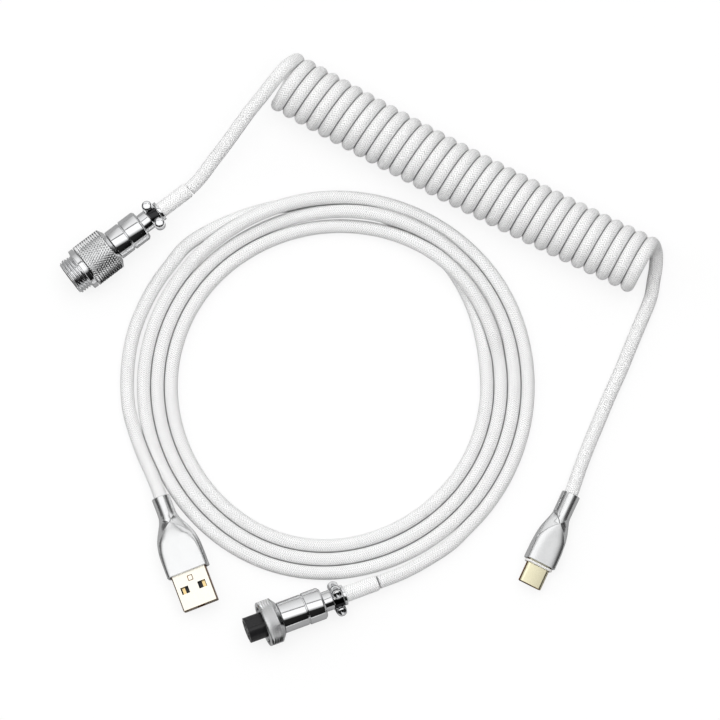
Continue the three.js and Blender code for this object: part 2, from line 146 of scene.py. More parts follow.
def spline(points, spacing):
    """Evenly spaced points on a centripetal Catmull-Rom curve."""
    points = [Vector(p) for p in points]
    ends = [points[0] * 2 - points[1], *points, points[-1] * 2 - points[-2]]
    dense = []
    for p0, p1, p2, p3 in zip(ends, ends[1:], ends[2:], ends[3:]):
        t1 = max((p1 - p0).length, 1e-6) ** 0.5
        t2 = t1 + max((p2 - p1).length, 1e-6) ** 0.5
        t3 = t2 + max((p3 - p2).length, 1e-6) ** 0.5
        count = max(2, ceil((p2 - p1).length / (spacing / 3)))
        for i in range(count):
            t = t1 + (t2 - t1) * i / count
            a1 = p0 * ((t1 - t) / t1) + p1 * (t / t1)
            a2 = p1 * ((t2 - t) / (t2 - t1)) + p2 * ((t - t1) / (t2 - t1))
            a3 = p2 * ((t3 - t) / (t3 - t2)) + p3 * ((t - t2) / (t3 - t2))
            b1 = a1 * ((t2 - t) / t2) + a2 * (t / t2)
            b2 = a2 * ((t3 - t) / (t3 - t1)) + a3 * ((t - t1) / (t3 - t1))
            dense.append(b1 * ((t2 - t) / (t2 - t1)) + b2 * ((t - t1) / (t2 - t1)))
    dense.append(points[-1])
    return evenly(dense, spacing)


def evenly(points, spacing):
    """The same line with its points at one spacing."""
    lengths = [(b - a).length for a, b in zip(points, points[1:])]
    count = max(2, round(sum(lengths) / spacing))
    step = sum(lengths) / count
    out, want, done = [points[0].copy()], step, 0.0
    for a, b, long in zip(points, points[1:], lengths):
        while want <= done + long and len(out) < count:
            out.append(a.lerp(b, (want - done) / long))
            want += step
        done += long
    out.append(points[-1].copy())
    return out


def coil_points():
    """The curly stretch: a left-handed helix whose turns touch."""
    axis = (COIL_END - COIL_START).normalized()
    side = Vector((-axis.y, axis.x, 0.0))
    points = []
    for i in range(-1, COIL_TURNS * POINTS_PER_TURN + 1):
        turn = i / POINTS_PER_TURN
        share = turn / COIL_TURNS
        angle = -turn * tau
        centre = COIL_START.lerp(COIL_END, share) - side * (COIL_SAG * sin(pi * share))
        out = side * cos(angle) + Vector((0, 0, sin(angle)))
        lean = COIL_LEAN * (1 - 2 * share**2)
        points.append(centre + out * COIL_MID_R + axis * (lean * cos(angle)))
    return points


def underpass_radius(angle):
    """Radius of the stretch that passes under the turns, at an angle from 15 to 135 degrees."""
    table = [UNDERPASS_START, *UNDERPASS]
    for (a, ra), (b, rb) in zip(table, table[1:]):
        if a >= angle >= b:
            return ra + (rb - ra) * (a - angle) / (a - b)
    return None


def loop_points():
    """Three flat turns outwards, clockwise from above, rising where they cross the underpass."""
    points = [polar(angle, radius, CORD_R) for angle, radius in UNDERPASS]
    for travelled in range(0, LOOP_TURNS * 360 + LOOP_REMAINDER + 1, LOOP_STEP):
        turn, angle = divmod(travelled, 360)
        angle = 360 - angle
        grown = turn + smoothstep((STEP_FROM - angle) / (STEP_FROM - STEP_TO))
        if angle <= STEP_TO:
            grown = turn + 1
        if angle == 360:
            grown = turn
        bulge = LOOP_BULGE * exp(-(((angle - BULGE_ANGLE) / BULGE_WIDTH) ** 2))
        radius = LOOP_INNER_R + LOOP_PITCH * grown + bulge
        height = CORD_R
        under = underpass_radius(angle) if turn < LOOP_TURNS else None
        if under is not None:
            reach = CROSSING_REACH * 2 * CORD_R
            apart = min(abs(radius - under), reach)
            height += 2 * CORD_R * cos(pi * apart / (2 * reach)) ** 2
        points.append(polar(angle, radius, height))
    return points


def polar(angle, radius, height):
    """A point of the flat loops from its angle in degrees about their centre."""
    a = radians(angle)
    return LOOP_CENTRE + Vector((radius * cos(a), radius * sin(a), height))


DEVICE_LINE = [*TAIL_ROUTE, *coil_points(), *RUN_ROUTE]
HOST_LINE = [*HOST_START_ROUTE, *loop_points(), *HOST_END_ROUTE]

# ---------------------------------------------------------------- shader helpers


class Nodes:
    """A short way to write a material's node tree."""

    def __init__(self, tree):
        self.tree = tree
        tree.nodes.clear()

    def add(self, kind, inputs=(), **settings):
        node = self.tree.nodes.new(kind)
        for key, value in settings.items():
            setattr(node, key, value)
        for key, value in dict(inputs).items():
            socket = node.inputs[key]
            if isinstance(value, bpy.types.NodeSocket):
                self.tree.links.new(value, socket)
            else:
                socket.default_value = value
        return node

    def math(self, operation, a, b=0.0, c=0.0):
        return self.add("ShaderNodeMath", {0: a, 1: b, 2: c}, operation=operation).outputs[0]

    def ramp(self, value, stops):
        node = self.add("ShaderNodeValToRGB", {0: value})
        elements = node.color_ramp.elements
        while len(elements) < len(stops):
            elements.new(0.5)
        for element, (position, grey) in zip(elements, stops):
            element.position = position
            colour = grey if isinstance(grey, tuple) else (grey, grey, grey)
            element.color = (*colour, 1)
        return node.outputs[0]

    def mix(self, factor, a, b):
        """A colour between a and b, each of them a colour or a node's output."""
        a, b = (c if isinstance(c, bpy.types.NodeSocket) else (*c, 1) for c in (a, b))
        return self.add("ShaderNodeMix", {0: factor, 6: a, 7: b}, data_type="RGBA").outputs[2]

    def spread(self, value, low, high, start=0.3, end=0.7):
        """Maps start to end onto low to high."""
        return self.add(
            "ShaderNodeMapRange", {0: value, 1: start, 2: end, 3: low, 4: high}
        ).outputs[0]

    def noise(self, vector, scale, detail=2.0, dimensions="3D"):
        return self.add(
            "ShaderNodeTexNoise", {"Vector": vector, "Scale": scale, "Detail": detail},
            noise_dimensions=dimensions,
        ).outputs["Fac"]

    def stretched(self, vector, scale):
        return self.add("ShaderNodeMapping", {"Vector": vector, "Scale": scale}).outputs[0]

    def bump(self, height, strength, distance):
        return self.add(
            "ShaderNodeBump", {"Height": height, "Strength": strength, "Distance": distance}
        ).outputs[0]


def new_material(slot):
    """A material named after the record's slot that its pieces belong to."""
    material = bpy.data.materials.new(f"{slot}_look")
    material["slot"] = slot
    material.use_nodes = True
    return material, Nodes(material.node_tree)


def local_place(n):
    """A piece's own millimetres, kept in its mesh so that a texture lies along the connector."""
    return n.add("ShaderNodeAttribute", attribute_name="local").outputs["Vector"]


def finish_material(n, **inputs):
    shader = n.add("ShaderNodeBsdfPrincipled", {k.replace("_", " "): v for k, v in inputs.items()})
    output = n.add("ShaderNodeOutputMaterial")
    n.tree.links.new(shader.outputs[0], output.inputs["Surface"])


METAL_RELIEF = 0.00002
# Painted dark reflection on the strap's top between the screws: its half width, the height it
# starts at and its near-black colour.
STRAP_HALF_WIDTH, STRAP_LEVEL = 1.75, 2.3
STRAP_PAINTED_REFLECTION = (0.035, 0.035, 0.037)
# Copper brown for the painted shade on the plated shells, and the half width of the shaded strip
# down their middle.
COPPER_BROWN_SHADE, MIDDLE_SHADE_HALF_WIDTH = (0.3, 0.14, 0.05), 1.3


def turned_metal(name, colour, low, high, lines, strap=False):
    """Bright metal with fine turning lines round the axis; a clamp's strap has a painted dark
    reflection, near black, on top.
    """
    material, n = new_material(name)
    where = local_place(n)
    rings = n.noise(n.stretched(where, (18, 0.4, 0.4)), 1.0, 3)
    smudge = n.noise(where, 0.35, 3)
    roughness = n.spread(smudge, low, high)
    tint = n.mix(smudge, colour, tuple(c * 0.93 for c in colour))
    # Painted dark reflection: the top of the strap between the screws is coloured near black.
    if strap:
        split = n.add("ShaderNodeSeparateXYZ", {0: where})
        between = n.math("LESS_THAN", n.math("ABSOLUTE", split.outputs[1]), STRAP_HALF_WIDTH)
        above = n.math("GREATER_THAN", split.outputs[2], STRAP_LEVEL)
        tint = n.mix(n.math("MULTIPLY", between, above), tint, STRAP_PAINTED_REFLECTION)
    finish_material(
        n, Base_Color=tint, Metallic=1.0, Roughness=roughness,
        Normal=n.bump(rings, lines, METAL_RELIEF),
    )
    return material


def satin_cast(name):
    """Satin silver casting with a very fine blasted grain."""
    material, n = new_material(name)
    where = local_place(n)
    grain = n.noise(where, 9, 2)
    cloud = n.noise(where, 0.25, 2)
    roughness = n.spread(cloud, 0.16, 0.22)
    tint = n.mix(cloud, (0.78, 0.785, 0.79), (0.75, 0.755, 0.76))
    finish_material(
        n, Base_Color=tint, Metallic=0.92, Roughness=roughness,
        Normal=n.bump(grain, 0.03, METAL_RELIEF),
    )
    return material


def plated_shell(name, light, dark, side, front, top):
    """Pale gold plating, with painted shade in copper brown at the sides, along the front rim and
    in the sunken middle: the dimple's groove and the inside.
    """
    material, n = new_material(name)
    where = local_place(n)
    brushed = n.noise(n.stretched(where, (0.5, 14, 14)), 1.0, 3)
    plate = n.mix(brushed, light, dark)
    split = n.add("ShaderNodeSeparateXYZ", {0: where})
    from_middle = n.math("ABSOLUTE", split.outputs[1])
    # Painted shade, coloured copper brown: at the side edges, along the front rim and where the
    # surface is sunken near the middle.
    at_side = n.spread(from_middle, 0.0, 1.0, side - 0.18, side)
    at_front = n.spread(split.outputs[0], 0.0, 1.0, front - 0.1, front)
    sunken = n.math("LESS_THAN", n.math("ABSOLUTE", split.outputs[2]), top - 0.04)
    middle_shade = n.math("MULTIPLY", sunken, n.math("LESS_THAN", from_middle, MIDDLE_SHADE_HALF_WIDTH))
    painted_edge_shade = n.math("MAXIMUM", n.math("MAXIMUM", at_side, at_front), middle_shade)
    finish_material(
        n, Base_Color=n.mix(painted_edge_shade, plate, COPPER_BROWN_SHADE), Metallic=1.0,
        Roughness=n.spread(brushed, 0.2, 0.34, 0.0, 1.0),
        Normal=n.bump(brushed, 0.08, METAL_RELIEF),
    )
    return material


def moulded(name, colour, roughness, grain_scale=9.0, grain=0.15, shine=0.5):
    """Moulded plastic with a fine spark-eroded grain and slight unevenness of colour."""
    material, n = new_material(name)
    where = local_place(n)
    fine = n.noise(where, grain_scale, 3)
    cloud = n.noise(where, 0.5, 2)
    tint = n.mix(cloud, colour, tuple(c * 0.88 for c in colour))
    finish_material(
        n, Base_Color=tint, Roughness=n.spread(fine, roughness - 0.05, roughness + 0.07),
        Specular_IOR_Level=shine, Normal=n.bump(fine, grain, 0.00004),
    )
    return material


def circuit_board(name):
    """Green solder mask with pale tinned pads in rows."""
    material, n = new_material(name)
    where = local_place(n)
    split = n.add("ShaderNodeSeparateXYZ", {0: where})
    across = n.math("FRACT", n.math("MULTIPLY", split.outputs[1], 0.9))
    pad = n.math("GREATER_THAN", across, 0.55)
    tint = n.mix(pad, (0.03, 0.16, 0.08), (0.62, 0.6, 0.5))
    finish_material(n, Base_Color=tint, Roughness=0.4, Normal=n.bump(pad, 0.3, 0.00005))
    return material


BRAID_COLUMNS = 16
STITCH_PITCH = 0.7


def braid(name, colour, shade, painted_crevice_shade, depth, roughness):
    """Herringbone braid: columns of slanted stitches that lean one way and then the other.

    A per-vertex attribute is 1 where the surface is pressed against another turn of cord; there the
    colour is darkened as painted shade between the turns.
    """
    material, n = new_material(name)
    uv = n.add("ShaderNodeUVMap", uv_map="braid").outputs[0]
    split = n.add("ShaderNodeSeparateXYZ", {0: uv})
    column = n.math("MULTIPLY", split.outputs[1], BRAID_COLUMNS)
    within = n.math("FRACT", column)
    odd = n.math("MODULO", n.math("FLOOR", column), 2.0)
    lean = n.math("MULTIPLY", n.math("SUBTRACT", odd, 0.5), 2.2)
    wander = n.noise(n.stretched(uv, (0.8, 14, 1)), 1.0, 1)
    along = n.math("DIVIDE", split.outputs[0], STITCH_PITCH)
    along = n.math("MULTIPLY_ADD", wander, 1.1, along)
    phase = n.math("FRACT", n.math("MULTIPLY_ADD", within, lean, along))
    stitch = n.math("POWER", n.math("SINE", n.math("MULTIPLY", phase, pi)), 0.7)
    across = n.math("POWER", n.math("SINE", n.math("MULTIPLY", within, pi)), 0.4)
    height = n.math("MULTIPLY", stitch, n.math("MULTIPLY_ADD", across, 0.35, 0.65))
    fluff = n.noise(n.stretched(uv, (3.5, 50, 1)), 1.0, 2)
    uneven = n.math("MULTIPLY_ADD", n.math("SUBTRACT", fluff, 0.5), 0.7, height)
    # Painted shade: the colour runs from the shade colour in the hollows between stitches to the
    # thread colour on their tops.
    thread = n.mix(n.ramp(uneven, [(0.1, 0.0), (0.9, 1.0)]), shade, colour)
    # Painted shade between touching turns: the colour darkens where the attribute marks a pressed
    # surface.
    pressed = n.add("ShaderNodeAttribute", attribute_name="painted_crevice_shade").outputs["Fac"]
    finish_material(
        n, Base_Color=n.mix(pressed, thread, painted_crevice_shade), Roughness=roughness,
        Normal=n.bump(uneven, depth, 0.00014),
    )
    return material


CHROME = turned_metal("polished_steel", (0.84, 0.845, 0.855), 0.05, 0.11, 0.12)
# The clamp saddle's steel, with the painted dark reflection on the strap's top.
STRAP = turned_metal("polished_steel", (0.84, 0.845, 0.855), 0.08, 0.14, 0.12, strap=True)
KNURLED = turned_metal("polished_steel", (0.93, 0.935, 0.94), 0.1, 0.16, 0.05)
CAST = satin_cast("satin_cast_metal")
GOLD_A = plated_shell(
    "pale_gold_plate", (0.98, 0.945, 0.85), (0.95, 0.905, 0.79), side=5.85, front=11.92, top=2.25
)
GOLD_C = plated_shell(
    "pale_gold_plate", (0.99, 0.94, 0.7), (0.97, 0.9, 0.62), side=3.95, front=7.86, top=1.2
)
BRASS = turned_metal("contact_brass", (0.86, 0.66, 0.33), 0.15, 0.28, 0.1)
BLACK = moulded("black_plastic", (0.012, 0.012, 0.013), 0.27, shine=0.35)
WHITE = moulded("white_plastic", (0.86, 0.85, 0.83), 0.42)
# In each braid the third colour is painted shade between stitches and the fourth is painted shade
# where turns press together.
BRAID = braid("white_braid", (0.95, 0.95, 0.948), (0.5, 0.5, 0.503), (0.12, 0.12, 0.125), 0.9, 0.75)
SLEEVE = braid("white_sleeve", (0.96, 0.96, 0.958), (0.52, 0.52, 0.52), (0.3, 0.3, 0.3), 0.7, 0.5)
BOARD = circuit_board("circuit_board")

# ---------------------------------------------------------------- mesh helpers


def new_object(name, data):
    obj = bpy.data.objects.new(name, data)
    bpy.context.scene.collection.objects.link(obj)
    return obj


def show(name, bm, where, material, body, nodes=(), sharp=32.0):
    """Turns a mesh in a connector's own millimetres into a piece that rides on a body."""
    bmesh.ops.recalc_face_normals(bm, faces=bm.faces[:])
    mesh = bpy.data.meshes.new(name)
    bm.to_mesh(mesh)
    bm.free()
    local = mesh.attributes.new("local", "FLOAT_VECTOR", "POINT")
    for vertex, value in zip(mesh.vertices, local.data):
        value.vector = vertex.co
    mesh.transform(where)
    for polygon in mesh.polygons:
        polygon.use_smooth = True
    mesh.set_sharp_from_angle(angle=radians(sharp))
    mesh.materials.append(material)
    obj = new_object(name, mesh)
    if nodes:
        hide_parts(*nodes)
    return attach(obj, body)


def soften(outline, radius, steps=3):
    """Rounds the corners of a closed (x, r) outline, leaving points on the axis alone."""
    out = []
    count = len(outline)
    for i in range(count):
        before, here, after = (Vector(outline[(i + k) % count]) for k in (-1, 0, 1))
        back, ahead = before - here, after - here
        reach = min(radius, 0.42 * back.length, 0.42 * ahead.length)
        if here.y < 1e-6 or reach < 0.01 or back.angle(ahead) > radians(165):
            out.append(tuple(here))
            continue
        a, b = here + back.normalized() * reach, here + ahead.normalized() * reach
        for k in range(steps + 1):
            t = k / steps
            out.append(tuple(a * (1 - t) ** 2 + here * (2 * t * (1 - t)) + b * t * t))
    return out


def lathe(outline, segments=96, relief=None):
    """A solid of revolution about X from a closed (x, r) outline; relief(x, r, angle) adds to r."""
    bm = bmesh.new()
    rings = []
    for x, r in outline:
        ring = []
        for i in range(segments):
            angle = i / segments * tau
            full = r + (relief(x, r, angle) if relief else 0.0)
            ring.append(bm.verts.new((x, full * cos(angle), full * sin(angle))))
        rings.append(ring)
    for ring, after in zip(rings, rings[1:] + rings[:1]):
        for i in range(segments):
            j = (i + 1) % segments
            bm.faces.new((ring[i], ring[j], after[j], after[i]))
    bmesh.ops.remove_doubles(bm, verts=bm.verts[:], dist=1e-5)
    bmesh.ops.dissolve_degenerate(bm, edges=bm.edges[:], dist=1e-6)
    return bm


def pipe(x0, x1, inner, outer, soft=0.08, segments=64):
    """A round tube along X, between two radii."""
    return lathe(soften([(x0, inner), (x0, outer), (x1, outer), (x1, inner)], soft), segments)


def rod(x0, x1, r, soft=0.0, segments=48):
    """A round bar along X."""
    outline = [(x0, 0), (x0, r), (x1, r), (x1, 0)]
    return lathe(soften(outline, soft) if soft else outline, segments)


def block(xs, ys, zs, soft=0.0):
    """A box between two places along each axis."""
    bm = bmesh.new()
    bmesh.ops.create_cube(bm, size=1.0)
    size = Vector((xs[1] - xs[0], ys[1] - ys[0], zs[1] - zs[0]))
    centre = Vector((sum(xs) / 2, sum(ys) / 2, sum(zs) / 2))
    matrix = Matrix.Translation(centre) @ Matrix.Diagonal((*size, 1))
    bmesh.ops.transform(bm, matrix=matrix, verts=bm.verts[:])
    return bevelled(bm, soft) if soft else bm


def turned_about(bm, axis, degrees, move=(0, 0, 0)):
    """A solid turned about an axis and then moved."""
    matrix = Matrix.Translation(move) @ Matrix.Rotation(radians(degrees), 4, axis)
    bmesh.ops.transform(bm, matrix=matrix, verts=bm.verts[:])
    return bm


def standing(bm, x, y):
    """A solid made along X, stood along Z at (x, y)."""
    return turned_about(bm, "Y", -90, (x, y, 0))


def beside(bm, y, z):
    """A solid made along X, moved off the axis to (y, z)."""
    return turned_about(bm, "X", 0, (0, y, z))


def bevelled(bm, width, segments=2, angle=30.0):
    """Rounds every edge whose faces meet at more than an angle in degrees."""
    edges = [e for e in bm.edges if e.is_manifold and e.calc_face_angle(0.0) > radians(angle)]
    bmesh.ops.bevel(
        bm, geom=edges, offset=width, segments=segments, profile=0.6, affect="EDGES",
        clamp_overlap=True,
    )
    return bm


def together(*solids):
    """Several closed solids in one mesh."""
    out = bmesh.new()
    for bm in solids:
        mesh = bpy.data.meshes.new("part")
        bm.to_mesh(mesh)
        bm.free()
        out.from_mesh(mesh)
        bpy.data.meshes.remove(mesh)
    return out


def combined(bm, others, operation="DIFFERENCE", flatten=True):
    """A boolean of bm with each of the others, in turn; flatten joins faces in one plane."""
    objects = []
    for solid in (bm, *others):
        bmesh.ops.recalc_face_normals(solid, faces=solid.faces[:])
        mesh = bpy.data.meshes.new("part")
        solid.to_mesh(mesh)
        solid.free()
        objects.append(new_object("part", mesh))
    first = objects[0]
    for tool in objects[1:]:
        modifier = first.modifiers.new("cut", "BOOLEAN")
        modifier.operation = operation
        modifier.solver = "EXACT"
        modifier.object = tool
    bpy.context.view_layer.update()
    evaluated = first.evaluated_get(bpy.context.evaluated_depsgraph_get())
    out = bmesh.new()
    out.from_mesh(evaluated.to_mesh())
    evaluated.to_mesh_clear()
    for obj in objects:
        mesh = obj.data
        bpy.data.objects.remove(obj)
        bpy.data.meshes.remove(mesh)
    bmesh.ops.remove_doubles(out, verts=out.verts[:], dist=1e-4)
    if flatten:
        flat = radians(0.5)
        bmesh.ops.dissolve_limit(out, angle_limit=flat, verts=out.verts[:], edges=out.edges[:])
    return out


# ---------------------------------------------------------------- cords


def sweep(name, line, radius, sides, material, body, bulge=None):
    """A round tube along a line, with the length in mm and the way round stored for the braid."""
    tangents = []
    for i in range(len(line)):
        a, b = line[max(i - 1, 0)], line[min(i + 1, len(line) - 1)]
        tangents.append((b - a).normalized())
    normal = tangents[0].orthogonal().normalized()
    verts, lengths, done = [], [], 0.0
    for i, (point, tangent) in enumerate(zip(line, tangents)):
        if i:
            done += (point - line[i - 1]).length
            normal = (normal - tangent * normal.dot(tangent)).normalized()
        binormal = tangent.cross(normal)
        lengths.append(done)
        r = radius * (bulge(i / (len(line) - 1)) if bulge else 1.0)
        for k in range(sides):
            a = k / sides * tau
            verts.append((point + (normal * cos(a) + binormal * sin(a)) * r) * MM)
    faces, uvs = [], []
    for i in range(len(line) - 1):
        for k in range(sides):
            j = (k + 1) % sides
            a, b = i * sides, (i + 1) * sides
            faces.append((a + k, a + j, b + j, b + k))
            left, right = k / sides, (k + 1) / sides
            here, there = lengths[i], lengths[i + 1]
            uvs += [(here, left), (here, right), (there, right), (there, left)]
    last = (len(line) - 1) * sides
    faces.append(tuple(range(sides - 1, -1, -1)))
    uvs += [(0.0, k / sides) for k in range(sides)]
    faces.append(tuple(range(last, last + sides)))
    uvs += [(done, k / sides) for k in range(sides)]
    mesh = bpy.data.meshes.new(name)
    mesh.from_pydata(verts, [], faces)
    layer = mesh.uv_layers.new(name="braid")
    for value, uv in zip(layer.data, uvs):
        value.uv = uv
    for polygon in mesh.polygons[:-2]:
        polygon.use_smooth = True
    mesh.materials.append(material)
    mesh.validate()
    obj = new_object(name, mesh)
    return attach(obj, body)


def paint_crevice_shade(obj, line):
    """Stores how closely each point of a cord's surface is pressed by another turn of the cord, as
    the mask for painted shade between the turns.
    """
    tree = KDTree(len(line))
    for i, point in enumerate(line):
        tree.insert(point, i)
    tree.balance()
    sides = len(obj.data.vertices) // len(line)
    apart = 3 * CORD_R / CORD_SPACING
    reach = CORD_R + CREVICE_SHADE_REACH
    painted_crevice_shade = obj.data.attributes.new("painted_crevice_shade", "FLOAT", "POINT")
    for k, (vertex, value) in enumerate(zip(obj.data.vertices, painted_crevice_shade.data)):
        found = tree.find_range(vertex.co / MM, reach)
        near = [distance for _, i, distance in found if abs(i - k // sides) > apart]
        if near:
            value.value = min(1.0, (reach - min(near)) / CREVICE_SHADE_REACH) ** 1.5


def make_cord(name, route, body, nodes):
    """A braided cord through its route, with its path and its length in metres."""
    line = [p + LAYOUT_SHIFT for p in spline(route, CORD_SPACING)]
    obj = sweep(name, line, CORD_R, 32, BRAID, body)
    paint_crevice_shade(obj, line)
    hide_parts(*nodes)
    path = [p * MM for p in line]
    length = sum((b - a).length for a, b in zip(path, path[1:]))
    return obj, path, length


CAMERA_ELEVATION, CAMERA_DISTANCE = radians(81), 6.0
CAMERA_TARGET = Vector((12.1, 22.6, 0.0))
VIEW_WIDTH, SENSOR_WIDTH = 0.2376, 36


def make_camera():
    """A very long lens, looking down steeply from the front."""
    elevation, distance = CAMERA_ELEVATION, CAMERA_DISTANCE
    target = (CAMERA_TARGET + LAYOUT_SHIFT) * MM
    camera = new_object("camera", bpy.data.cameras.new("camera"))
    camera.data.lens = distance * SENSOR_WIDTH / VIEW_WIDTH
    camera.data.clip_end = 20
    camera.location = target + Vector((0, -cos(elevation), sin(elevation))) * distance
    camera.rotation_euler = (pi / 2 - elevation, 0, 0)
    bpy.context.scene.camera = camera


make_camera()
device_cord, device_path, device_length = make_cord(
    "device_lead_cord", DEVICE_LINE, "device_lead",
    ("device_lead_tail", "curly_coil", "device_lead_run"),
)
host_cord, host_path, host_length = make_cord(
    "host_lead_cord", HOST_LINE, "host_lead",
    ("host_lead_start", "host_lead_loops", "host_lead_end"),
)
print("device cord", round(device_length, 3), "host cord", round(host_length, 3))

# ---------------------------------------------------------------- round connectors


def pin_places():
    """The contacts' centres on their circle, as (y, z), from the top."""
    angles = [i / PIN_COUNT * tau + pi / 2 for i in range(PIN_COUNT)]
    return [(PIN_CIRCLE_R * cos(a), PIN_CIRCLE_R * sin(a)) for a in angles]


def knurl(first, last):
    """Diamond knurl between two places along the axis, on the outer surface only."""

    def relief(x, r, angle):
        inside = first - 1e-6 <= x <= last + 1e-6
        if not inside or r < KNURL_R - 0.05:
            return 0.0
        a = angle * KNURL_TEETH / tau
        b = (x - first) / KNURL_PERIOD
        near = max(abs(((a + b) % 1.0) - 0.5), abs(((a - b) % 1.0) - 0.5)) * 2
        ends = min((x - first) / KNURL_FADE, (last - x) / KNURL_FADE, 1.0)
        groove = smoothstep((near - KNURL_FLAT) / KNURL_FLANK)
        return -KNURL_DEPTH * groove * max(ends, 0.0)

    return relief


def knurl_line(first, last):
    """The straight outline under a knurl, with a point at every eighth of its period."""
    step = KNURL_PERIOD / 8
    count = round((last - first) / step)
    return [(first + i * (last - first) / count, KNURL_R) for i in range(count + 1)]


def lug_plate(low, high):
    """A plate across the cord with round ends, for the two clamp screws."""
    ends = [standing(rod(low, high, 1.78), SCREW_X, y) for y in (-SCREW_Y, SCREW_Y)]
    return combined(block((0.85, 4.15), (-SCREW_Y, SCREW_Y), (low, high)), ends, "UNION")


def screw_holes(low, high):
    """Cutters for the two clamp screws' holes."""
    return [standing(rod(low, high, SCREW_HOLE_R), SCREW_X, y) for y in (SCREW_Y, -SCREW_Y)]


def back_shell(side, where, body, barrel_front):
    """The rear barrel, with the neck, trough and ears that hold the cord."""
    inner = FRONT_BARREL_R - 1.0
    barrel = lathe(soften([
        (CLAMP_FRONT, CLAMP_BORE_R), (CLAMP_FRONT, NECK_R), (BARREL_REAR, NECK_R),
        (BARREL_REAR, REAR_BARREL_R - 0.7), (BARREL_REAR + 0.7, REAR_BARREL_R),
        (GROOVE_REAR, REAR_BARREL_R), (GROOVE_REAR, FRONT_BARREL_R - 0.35),
        (GROOVE_FRONT, FRONT_BARREL_R - 0.35), (GROOVE_FRONT, FRONT_BARREL_R),
        (barrel_front, FRONT_BARREL_R), (barrel_front, inner),
        (BARREL_REAR + 1, inner), (BARREL_REAR + 1, CLAMP_BORE_R),
    ], 0.22, 4), 128)
    trough = combined(
        pipe(0.5, CLAMP_FRONT + 0.2, CLAMP_BORE_R, NECK_R + 0.1, 0.0),
        [block((-1, CLAMP_FRONT), (-8, 8), (0.4, 8))],
    )
    rim = pipe(-0.4, 0.5, CLAMP_BORE_R, NECK_R + 0.1, 0.15)
    ears = combined(lug_plate(-2.2, 0.6), [rod(-1, 6, CLAMP_BORE_R), *screw_holes(-4, 2)])
    shell = together(barrel, bevelled(trough, 0.08), rim, bevelled(ears, 0.1))
    return show(
        f"{side}_back_shell_turned", shell, where, CHROME, body, [f"{side}_back_shell"]
    )


def clamp_saddle(side, where, body):
    """The strap over the cord, with a lug for a screw on each side."""
    arch = combined(
        pipe(0.8, 4.0, CLAMP_BORE_R, 3.75, 0.0),
        [block((-1, 5), (-8, 8), (-8, 1.0))],
    )
    lugs = combined(
        lug_plate(1.0, LUG_TOP), [rod(-1, 5, CLAMP_BORE_R + 0.05), *screw_holes(0, 5)]
    )
    return show(
        f"{side}_clamp_saddle_pressed", together(bevelled(arch, 0.12), bevelled(lugs, 0.12)),
        where, STRAP, body, [f"{side}_clamp_saddle"],
    )


def clamp_screw(side, number, y, where, body):
    """A domed screw with a cross recess, standing in a lug."""
    head, head_r, rim, dome = LUG_TOP + 0.3, 1.65, 0.7, 0.6
    profile = [(-3.4, 0), (-3.4, 0.6), (-3.05, 0.95), (head, 0.95)]
    profile += [(head, head_r), (head + rim, head_r)]
    for a in (0.2, 0.45, 0.7, 0.95, 1.25):
        profile.append((head + rim + dome * sin(a), head_r * cos(a) ** 0.8))
    profile.append((head + 1.3, 0))
    screw = standing(lathe(profile, 48), SCREW_X, y)
    slots = []
    for angle in (30, 120):
        slot = block((-1.0, 1.0), (-0.25, 0.25), (head + 0.5, head + 2))
        slots.append(turned_about(slot, "Z", angle, (SCREW_X, y, 0)))
    slots.append(standing(rod(head + 0.4, head + 2, 0.6, 0.0, 24), SCREW_X, y))
    return show(
        f"{side}_clamp_screw_{number}_turned", combined(screw, slots), where, CHROME, body,
        [f"{side}_clamp_screw_{number}"],
    )


def shrink_sleeve(side, where, body):
    """Shrink tube pulled tight over the braid, slightly wrinkled and rounded at its ends."""
    count = 60
    first, last = -SLEEVE_TAIL, CLAMP_FRONT + 1.5
    line = [Vector((first + (last - first) * i / count, 0, 0)) for i in range(count + 1)]

    def bulge(t):
        ends = min(t, 1 - t) * (last - first) / 0.8
        wrinkle = 1 + 0.006 * sin(t * 47) + 0.004 * sin(t * 113)
        return (1 - 0.09 * (1 - smoothstep(ends))) * wrinkle

    obj = sweep(f"{side}_sleeve_tube", line, SLEEVE_R, 64, SLEEVE, body, bulge)
    obj.data.transform(where @ Matrix.Scale(1 / MM, 4))
    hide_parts(f"{side}_shrink_sleeve")
    return obj


def clamp_and_shell(side, where, lead, barrel_front):
    back_shell(side, where, lead, barrel_front)
    clamp_saddle(side, where, f"{side}_saddle")
    for number, y in ((1, -SCREW_Y), (2, SCREW_Y)):
        clamp_screw(side, number, y, where, f"{side}_screw_{number}")
    shrink_sleeve(side, where, lead)


def make_socket():
    clamp_and_shell("socket", SOCKET, "device_lead", 19.0)
    first, last = 20.5, 30.1
    outline = [(22.0, 4.6), (19.45, 4.6), (19.3, 4.75), (19.3, 5.5)]
    outline += [(19.4, 5.75), (20.2, 7.1), (20.35, 7.4)]
    outline += knurl_line(first, last)
    outline += [(30.3, 7.5), (30.4, 7.3), (30.4, 6.5), (22.0, 6.5)]
    sleeve = lathe(outline, KNURL_SEGMENTS, knurl(first, last))
    show("socket_sleeve_knurled", sleeve, SOCKET, KNURLED, "device_lead", ["socket_knurled_sleeve"])
    threaded_nose()
    holes = [beside(rod(25, 33, 0.75), y, z) for y, z in pin_places()]
    face = bevelled(combined(rod(26.5, 31.4, 4.5, 0.0, 96), holes), 0.08)
    show("socket_insert_moulded", face, SOCKET, BLACK, "device_lead", ["socket_insert"])
    for i, (y, z) in enumerate(pin_places()):
        tip = [(25.4, 0), (25.4, PIN_R), (35.5, PIN_R), (35.8, 0.38), (35.97, 0.2), (36, 0)]
        pin = beside(lathe(tip, 24), y, z)
        node = f"socket_pin_{i + 1}"
        show(f"{node}_turned", pin, SOCKET, BRASS, "device_lead", [node])


